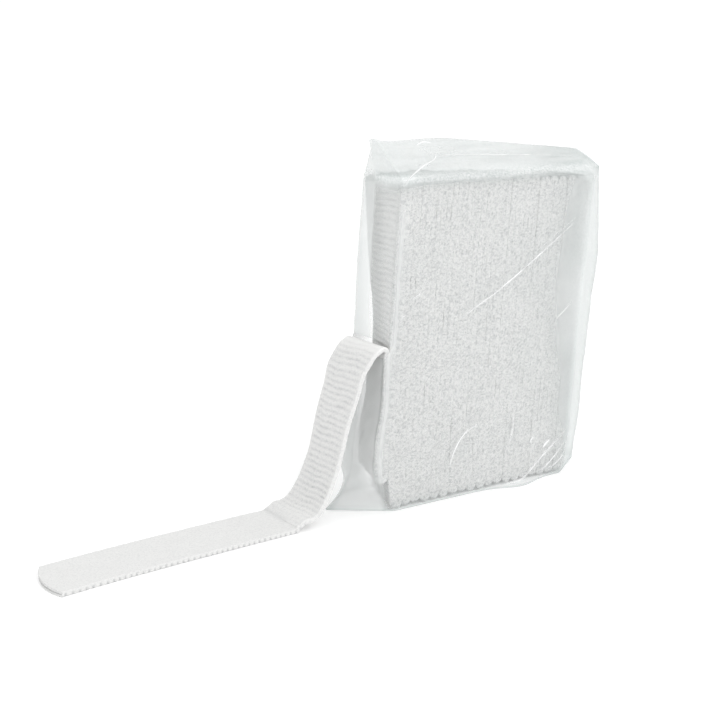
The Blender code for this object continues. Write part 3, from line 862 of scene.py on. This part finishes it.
FILM_COLUMNS = (34, 66, 66, 34, 14, 30, 30, 14)     # steps between the named corners
BODY_ROWS = 150
LOW_SHARE = 0.47            # share of the rows below the slit
FOOT_START = 0.3            # height of the lowest row as a share of the film's wall
TENT_STEPS = 34
SMOOTH_ROUNDS = 3
FILM_EASE = 0.35            # the film stands off the pressed layers by this much more
HEM_FLARE = 2.8             # the foot of the near side stands out by this around one place
HEM_PEAK = 12.6
HEM_SPREAD = 6.5
UPRIGHT = (79.0, 83.0)      # above these heights the film's wrinkles stand out sideways only
WRINKLE_DEPTH = 0.16
WRINKLE_FADE = 6.0          # they fade over this height at the foot and at the top
WRINKLE_TOP = 90.0
WRINKLES = (                # share, cells of x and z one way and of z and y the other way, and seed
    (1.0, 9.0, 30.0, 5.0, 6.0, 20),
    (0.5, 3.0, math.inf, 2.5, 3.0, 21),
)
# whitened creases of the film, partly painted highlights
CREASE_HIGHLIGHTS = (                 # points (x, z) on the near side, half width, strength
    (((-6.1, 46.8), (-0.5, 49.7), (5.9, 52.9), (18.8, 60.4), (30.5, 67.8)), 0.34, 1.0),
    (((18.0, 61.4), (25.4, 65.9), (31.0, 69.0)), 0.25, 0.4),
    (((-9.4, 8.1), (-8.5, 11.4), (-6.9, 14.3), (-4.4, 16.8), (-0.3, 18.5)), 0.45, 0.8),
    (((10.6, 19.7), (11.4, 17.2), (11.1, 14.8), (10.2, 11.7), (9.3, 9.1)), 0.40, 0.5),
    (((18.8, 11.7), (17.6, 11.0), (17.8, 9.8)), 0.40, 1.0),
    (((24.5, 10.0), (23.1, 9.2), (21.6, 8.1)), 0.65, 1.0),
    (((7.6, 1.2), (14.3, 2.2), (22.8, 6.7), (30.1, 11.7)), 0.50, 0.7),
    (((20.6, 1.8), (25.4, 4.6), (30.2, 8.8)), 0.35, 0.8),
    (((23.1, 1.7), (27.2, 3.4), (30.7, 6.8), (31.9, 10.8)), 0.35, 0.8),
    (((24.7, 42.5), (28.1, 44.8), (30.8, 47.2)), 0.45, 0.7),
    (((-21.7, 52.8), (-20.3, 53.3), (-18.2, 54.3)), 0.25, 0.8),
    (((-24.9, 48.6), (-22.6, 49.2)), 0.25, 0.8),
    (((-24.3, 80.0), (-21.8, 82.0), (-16.5, 84.3), (-12.4, 85.7), (-10.6, 87.3)), 0.35, 0.9),
    (((-15.6, 88.8), (-13.0, 89.5), (-10.4, 89.2)), 0.30, 0.9),
    (((-10.0, 86.6), (4.8, 85.9), (24.5, 84.9), (37.0, 83.9)), 0.25, 0.6),
)
CREASE_STEP = 0.4
CREASE_CURVE = 40           # points on the curve between two points of a crease
CREASE_POWER = 0.35         # below 1, a crease narrows only near its ends
CREASE_CHANGE = 0.25        # its width changes by this share
CREASE_WAVE = (2.0, 30)
CREASE_END = 0.35           # share of its width at its ends
RIBBON = ((-1.0, 0.06, 0.0), (0.0, 0.08, 1.0), (1.0, 0.06, 0.0))    # sideways, above the film, mark
RAY_START = -40.0
GLEAMS = (                  # middle (x, z), half width, half height, strength of painted highlights
    ((-24.5, 81.2), 5.0, 1.8, 0.50),
    ((-35.2, 6.6), 1.0, 1.7, 0.80),
    ((-5.0, 12.5), 1.6, 1.6, 0.25),
    ((12.0, 14.0), 3.0, 4.0, 0.15),
)
GLEAM_SIDE = (-1.0, 4.0)
GLEAM_RISE = 0.10
GLEAM_VEIL = 0.7

# Zones of the film: the places in mm where each begins and where it is complete
SIDE_PANEL = (7.0, 8.5)
NEAR_HALF = (-1.5, 0.5)
FAR_HALF = (-4.0, 1.0)
TENT = (79.0, 82.5)
STACK_TOP = (79.0, 82.0)
FRONT_PANEL = (-26.0, -22.0)
SLIT_FADE = (37.0, 42.0)
BACK_PANEL = (21.0, 36.0)
BACK_TOP = (70.0, 84.0)
BACK_TOP_LOSS = 0.4
# where the painted highlight along the film's front corner lies
CORNER_TOP = (72.0, 80.0)
CORNER_BACK = 0.4
CORNER_WIDTH = 1.1
# the band of painted light over the shade between the stack's heads and the tent
HEAD_MIDDLE = 81.6
HEAD_WIDTH = 1.5
# film darker towards the floor: painted contact shade
FOOT_ZONE = (0.4, 3.0)
HEM_ZONE = (0.2, 0.9)
HAZE_ZONE = (8.0, 31.0)
HAZE_MIDDLE = 46.0
HAZE_HEIGHT = 22.0
HAZE_WAVER = (3.0, 4.0)     # how far its boundary wavers along and upwards
STREAK_LENGTH = 12.0
STREAK_SLANT = 9.0
STREAK_WIDTH = 0.9
STREAK_SEED = 23
VEIL = 0.24                 # how much the film veils everywhere
MOST_VEIL = 0.85
ZONE_LOOK = {               # more veil, least whiteness, more whiteness, least grain
    "over_stack": (-0.11, 0.36, 0.0, 0.0),
    "soft": (0.03, 0.0, 0.0, 0.0),
    # painted light over the shaded gap below the slit
    "gap_fill_light": (0.30, 0.80, 0.0, 0.0),
    # whiter film over the front panel, partly painted fill light on the shaded front face
    "front": (0.0, 0.58, 0.0, 0.0),
    "front_far": (0.38, 0.0, 0.0, 0.0),
    # painted light over the shade between the stack's heads and the tent
    "head": (0.34, 0.48, 0.0, 0.9),
    "tent": (0.18, 0.32, 0.0, 0.25),
    "streaks": (0.08, 0.0, 0.16, 0.0),
    "back": (0.42, 0.50, 0.0, 0.2),
    "behind": (0.0, 0.0, -0.42, 0.0),
    "haze": (0.17, 0.58, 0.0, 0.0),
    # painted highlight along the film's front corner
    "corner_highlight": (0.24, 0.0, 0.35, 0.0),
    # painted contact shade where the film meets the floor, in the foot and hem zones
    "foot": (0.16, 0.0, -0.25, 0.0),
    "hem_shadow": (0.30, 0.0, -0.2, 0.0),
}


def front_face(height):
    return np.where(np.asarray(height) < EXIT_HEIGHT, layer_x(0, height), layer_x(1, height)) - THICKNESS / 2


def back_face(height):
    return layer_x(LAYERS - 1, height) + THICKNESS / 2


def head_height(depth):
    fall = np.maximum(depth - 1.0, 0.0) * BACK_REACH
    return STACK_HEIGHT * table(HEAD_LINE, depth) + HEAD_CLEARANCE - fall


def spread(corners):
    """Points of a ring around the bag, between its named corners."""
    ring = []
    for index, steps in enumerate(FILM_COLUMNS):
        start = np.asarray(corners[index], dtype=float)
        end = np.asarray(corners[(index + 1) % len(corners)], dtype=float)
        for step in range(steps):
            ring.append(start + (end - start) * step / steps)
    return np.array(ring)


def body_corners(height, bulge):
    front = float(front_face(height)) - CLEARANCE - FILM_EASE
    back = float(back_face(height)) + CLEARANCE + FILM_EASE
    reach = BACK_REACH * float(table(BACK_LINE, height / STACK_HEIGHT))
    middle = (front + back) / 2
    side = HALF_SIDE + SIDE_BULGE
    return [
        (front - FRONT_BULGE * bulge, 0.0), (front, -HALF_SIDE), (middle, -side),
        (back, -HALF_SIDE), (back + reach, 0.0), (back, HALF_SIDE),
        (middle, side), (front, HALF_SIDE),
    ]


def floor_corners():
    front = float(front_face(0.0))
    back = float(back_face(0.0))
    near = TUBE_WIDTH / 2 + FLOOR_NEAR
    far = TUBE_WIDTH / 2 + FLOOR_FAR
    middle = (front + back) / 2
    return [
        (front - FLOOR_FRONT, FLOOR_FAR), (front + FLOOR_FRONT * TOE_TO_CORNER, -near), (middle, -near),
        (back - BACK_REACH * BACK_CORNER, -near), (back + BACK_REACH, 0.0),
        (back + BACK_REACH * BACK_CORNER, far), (middle, far), (front + FLOOR_FRONT * FAR_CORNER, far),
    ]


def ridge_corners(front, back):
    length = back - front
    full_from = front + length * RIDGE_FRONT
    full_to = back - length * RIDGE_BACK
    middle = (full_from + full_to) / 2
    return [
        (front, 0.0), (full_from, -RIDGE_HALF), (middle, -RIDGE_HALF),
        (full_to, -RIDGE_HALF), (back, 0.0), (full_to, RIDGE_HALF),
        (middle, RIDGE_HALF), (full_from, RIDGE_HALF),
    ]


def bulge_at(height):
    """Share by which the film stands out in front of the stack, none at the slit."""
    if SLIT_LOW < height < SLIT_HIGH:
        return 0.0
    if height <= SLIT_LOW:
        rows = ((0.0, 1.0), *LOWER_ROWS, (1.0, 0.0))
        share = (height - FILM_WALL) / (SLIT_LOW - FILM_WALL)
    else:
        rows = ((0.0, 0.0), *UPPER_ROWS)
        share = (height - SLIT_HIGH) / (float(head_height(0.0)) - SLIT_HIGH)
    return float(table(rows, share))


def body_row(height):
    flare = max(1.0 - (height - FILM_WALL) / FLARE_HEIGHT, 0.0) ** 2
    body = spread(body_corners(height, bulge_at(height)))
    floor = spread(floor_corners())
    near_side = floor[:, 1] < -TUBE_WIDTH / 2
    floor[:, 1] -= HEM_FLARE * near_side * np.exp(-((floor[:, 0] - HEM_PEAK) / HEM_SPREAD) ** 2)
    flat = body + (floor - body) * flare
    level = np.full(len(flat), height)
    if flare < 1.0:
        depth = (flat[:, 0] - float(front_face(height))) / float(back_face(height) - front_face(height))
        level = height * head_height(depth) / float(head_height(0.0))
    return np.column_stack([flat, level])


def film_grid():
    """Rows of points from the foot to the ridge, and the number of the row below the slit."""
    low = np.linspace(FILM_WALL * FOOT_START, SLIT_LOW, int(BODY_ROWS * LOW_SHARE))
    high = np.linspace(SLIT_HIGH, float(head_height(0.0)), BODY_ROWS - len(low))
    rows = [body_row(float(height)) for height in np.concatenate([low, high])]
    head = rows[-1]
    ridge = spread(ridge_corners(head[0][0] - RIDGE_AHEAD, head[:, 0].max()))
    front = ridge[0][0]
    length = ridge[:, 0].max() - front
    rise = RIDGE_RISE * table(RIDGE_LINE, (ridge[:, 0] - front) / length)
    top = np.column_stack([ridge, STACK_HEIGHT + rise])
    for step in range(1, TENT_STEPS + 1):
        rows.append(head + (top - head) * step / TENT_STEPS)
    return np.array(rows), len(low) - 1


def film_zones(x, y, z):
    """How far each point of the film belongs to each zone."""
    side_panel = ease(-y, *SIDE_PANEL)
    near_half = ease(-y, *NEAR_HALF)
    tent = ease(z, *TENT)
    front = (1 - ease(x, *FRONT_PANEL)) * (1 - tent) * (1 - side_panel)
    back = ease(x, *BACK_PANEL) * (1 - BACK_TOP_LOSS * ease(z, *BACK_TOP))
    corner_highlight = np.exp(-((x - front_face(z) - CORNER_BACK) / CORNER_WIDTH) ** 2)
    soft = random_field(x, z, SOFT_FIELD)
    streaks = wander2(x / STREAK_LENGTH + z / STREAK_SLANT, z / STREAK_WIDTH, STREAK_SEED)
    along, upwards = HAZE_WAVER
    haze = np.exp(-((z - HAZE_MIDDLE + upwards * soft) / HAZE_HEIGHT) ** 2)
    return {
        "over_stack": side_panel * (1 - ease(z, *STACK_TOP)),
        "soft": soft,
        "gap_fill_light": front * near_half * (1 - ease(z, *SLIT_FADE)),
        "front": front,
        "front_far": front * (1 - near_half),
        "head": near_half * np.exp(-((z - HEAD_MIDDLE) / HEAD_WIDTH) ** 2),
        "tent": tent,
        "streaks": streaks * tent,
        "back": back,
        "behind": back * ease(y, *FAR_HALF),
        "haze": side_panel * ease(x + along * soft, *HAZE_ZONE) * haze,
        "corner_highlight": side_panel * corner_highlight * (1 - ease(z, *CORNER_TOP)),
        "foot": 1 - ease(z, *FOOT_ZONE),
        "hem_shadow": 1 - ease(z, *HEM_ZONE),
    }


def film_look(x, y, z):
    """Whiteness of the film, how much it veils what is behind it, and how uneven that is."""
    zones = film_zones(x, y, z)
    more_veil, least_white, more_white, least_grain = (
        np.array([look[use] * zones[name] for name, look in ZONE_LOOK.items()]) for use in range(4)
    )
    veil = VEIL + more_veil.sum(axis=0)
    white = least_white.max(axis=0) + more_white.sum(axis=0)
    return unit(white), np.clip(veil, 0.0, MOST_VEIL), least_grain.max(axis=0)


def on_film(surface, x, z):
    """The point of the film's near side at a place, and the direction out of it."""
    hit, normal, _, _ = surface.ray_cast(Vector((x, RAY_START, z)) * MM, Vector((0.0, 1.0, 0.0)))
    if not hit:
        return Vector((x, -HALF_SIDE, z)), Vector((0.0, -1.0, 0.0))
    return hit / MM, -normal if normal.y > 0 else normal


def crease_highlight_ribbons(surface):
    """Narrow raised ribbons of whitened, creased film along the drawn lines, partly painted highlights."""
    points, faces, marks = [], [], []
    for line, width, strength in CREASE_HIGHLIGHTS:
        path = catmull_rom(np.array(line), CREASE_CURVE) if len(line) > 2 else np.array(line, dtype=float)
        at = arc_length(path)
        count = max(4, int(at[-1] / CREASE_STEP))
        share = np.linspace(0.0, 1.0, count + 1)
        xs = np.interp(share * at[-1], at, path[:, 0])
        zs = np.interp(share * at[-1], at, path[:, 1])
        dx, dz = np.gradient(xs), np.gradient(zs)
        size = np.hypot(dx, dz)
        uneven = 1 - CREASE_CHANGE + CREASE_CHANGE * wander(share * at[-1], *CREASE_WAVE)
        taper = np.sin(math.pi * share) ** CREASE_POWER * uneven
        start = len(points)
        for index in range(count + 1):
            half = width * (CREASE_END + (1 - CREASE_END) * taper[index])
            for across, raised, mark in RIBBON:
                px = xs[index] - dz[index] / size[index] * across * half
                pz = zs[index] + dx[index] / size[index] * across * half
                spot, out = on_film(surface, px, pz)
                points.append(tuple(spot + out * raised))
                marks.append((1.0, mark * strength * taper[index], 0.0))
        for index in range(count):
            for column in range(2):
                first = start + index * 3 + column
                faces.append((first, first + 1, first + 4, first + 3))
    return np.array(points), faces, np.array(marks)


def smooth_ring(points):
    for _ in range(SMOOTH_ROUNDS):
        points = (np.roll(points, 1, axis=1) + 2 * points + np.roll(points, -1, axis=1)) / 4
    return points


def outward_from(points):
    """Direction out of the bag at each point, straight sideways near the ridge."""
    outward = points - points.mean(axis=1, keepdims=True)
    outward[..., 2] = 0.0
    outward /= np.maximum(np.linalg.norm(outward, axis=2, keepdims=True), 1e-6)
    upright = np.zeros_like(outward)
    upright[..., 1] = np.clip(points[..., 1] / RIDGE_HALF, -1.0, 1.0)
    return outward + (upright - outward) * ease(points[..., 2], *UPRIGHT)[..., None]


def wrinkles(x, y, z):
    """Height of the film's soft wrinkles."""
    height = sum(
        share * wander2(x / x_cell + z / z_cell, z / up_cell + y / y_cell, seed)
        for share, x_cell, z_cell, up_cell, y_cell, seed in WRINKLES
    )
    return height * unit(z / WRINKLE_FADE) * unit((WRINKLE_TOP - z) / WRINKLE_FADE)


def gleams(x, y, z):
    """Strength of the painted highlights at each point."""
    gleam = np.zeros(x.shape)
    for (px, pz), width, height, strength in GLEAMS:
        away = ((x - px) / width) ** 2 + ((z - pz) / height) ** 2
        gleam = np.maximum(gleam, strength * np.exp(-away) * ease(-y, *GLEAM_SIDE))
    return gleam


def open_faces(rows, columns, lip):
    """Faces of the film, without those across the slit in front."""
    faces = []
    for row in range(rows - 1):
        for column in range(columns):
            if row == lip and not FILM_COLUMNS[0] <= column < columns - FILM_COLUMNS[-1]:
                continue
            here, above = row * columns, (row + 1) * columns
            following = (column + 1) % columns
            faces.append((here + column, here + following, above + following, above + column))
    return faces


def add_film_piece(name, points, faces, marks):
    piece = add_mesh(name, points, faces, marks, FILM)
    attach(piece, "root")
    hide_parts("bag")


def add_film():
    points, lip = film_grid()
    points = smooth_ring(points)
    x, y, z = points[..., 0], points[..., 1], points[..., 2]
    gleam = gleams(x, y, z)
    white, veil, grain = film_look(x, y, z)
    marks = np.stack([np.maximum(white, gleam), unit(veil + GLEAM_VEIL * gleam), grain * (1 - gleam)], axis=2)
    raised = WRINKLE_DEPTH * wrinkles(x, y, z) + GLEAM_RISE * gleam
    points = points + outward_from(points) * raised[..., None]
    faces = open_faces(*x.shape, lip)
    add_film_piece("bag_film", points, faces, marks)
    surface = BVHTree.FromPolygons([Vector(point) * MM for point in points.reshape(-1, 3)], faces)
    add_film_piece("bag_crease_highlights", *crease_highlight_ribbons(surface))


add_film()


# Floor, light and camera

FLOOR_REACH = 4.0           # in metres
FLOOR_GLOW = 0.10           # a table lit slightly from below, as for a cut-out picture
FLOOR_SHADE = (0.98, 0.98, 0.98, 1.0)
WHITE = (1.0, 1.0, 1.0, 1.0)
SKY_RAMP = (("From Min", -1.0), ("From Max", 0.1), ("To Min", 0.93), ("To Max", 1.04))
SUN_POWER = 0.5
SUN_SIZE = math.radians(40.0)
SUN_FROM = (0.35, -0.75, 0.9)
CAMERA_AT = (-205.294, -262.579, 112.965)
CAMERA_TILT = math.radians(90.0 - 13.448)
CAMERA_TURN = math.radians(-33.605)
CAMERA_LENS = 66.32
CAMERA_SENSOR = 36.0
CAMERA_RANGE = (0.01, 20.0)     # in metres


def add_floor():
    mesh = bpy.data.meshes.new("floor")
    corners = [(FLOOR_REACH * x, FLOOR_REACH * y, 0) for x, y in ((-1, -1), (1, -1), (1, 1), (-1, 1))]
    mesh.from_pydata(corners, [], [(0, 1, 2, 3)])
    floor = add_object("floor", mesh)
    plain = Nodes("plain_floor")
    plain.shader.inputs["Base Color"].default_value = FLOOR_SHADE
    plain.shader.inputs["Roughness"].default_value = 1.0
    plain.shader.inputs["Specular IOR Level"].default_value = 0.0
    plain.shader.inputs["Emission Color"].default_value = WHITE
    plain.shader.inputs["Emission Strength"].default_value = FLOOR_GLOW
    mesh.materials.append(plain.material)


def add_sky():
    """White light from all around, a little weaker from the front of the bag."""
    world = bpy.data.worlds.new("studio")
    world.use_nodes = True
    tree = world.node_tree
    sky = tree.nodes["Background"]
    sky.inputs["Color"].default_value = WHITE
    direction = tree.nodes.new("ShaderNodeTexCoord").outputs["Generated"]
    parts = tree.nodes.new("ShaderNodeSeparateXYZ")
    tree.links.new(direction, parts.inputs[0])
    ramp = tree.nodes.new("ShaderNodeMapRange")
    ramp.interpolation_type = "SMOOTHSTEP"
    for socket, value in SKY_RAMP:
        ramp.inputs[socket].default_value = value
    tree.links.new(parts.outputs["X"], ramp.inputs["Value"])
    tree.links.new(ramp.outputs["Result"], sky.inputs["Strength"])
    bpy.context.scene.world = world


def add_sun():
    data = bpy.data.lights.new("key", "SUN")
    data.energy = SUN_POWER
    data.angle = SUN_SIZE
    lamp = add_object("key", data)
    lamp.rotation_euler = (-Vector(SUN_FROM)).to_track_quat("-Z", "Y").to_euler()


def add_camera():
    data = bpy.data.cameras.new("camera")
    data.lens = CAMERA_LENS
    data.sensor_width = CAMERA_SENSOR
    data.clip_start, data.clip_end = CAMERA_RANGE
    camera = add_object("camera", data)
    camera.location = Vector(CAMERA_AT) * MM
    camera.rotation_euler = (CAMERA_TILT, 0.0, CAMERA_TURN)
    bpy.context.scene.camera = camera


add_floor()
add_sky()
add_sun()
add_camera()
bpy.context.scene.view_settings.view_transform = "Standard"
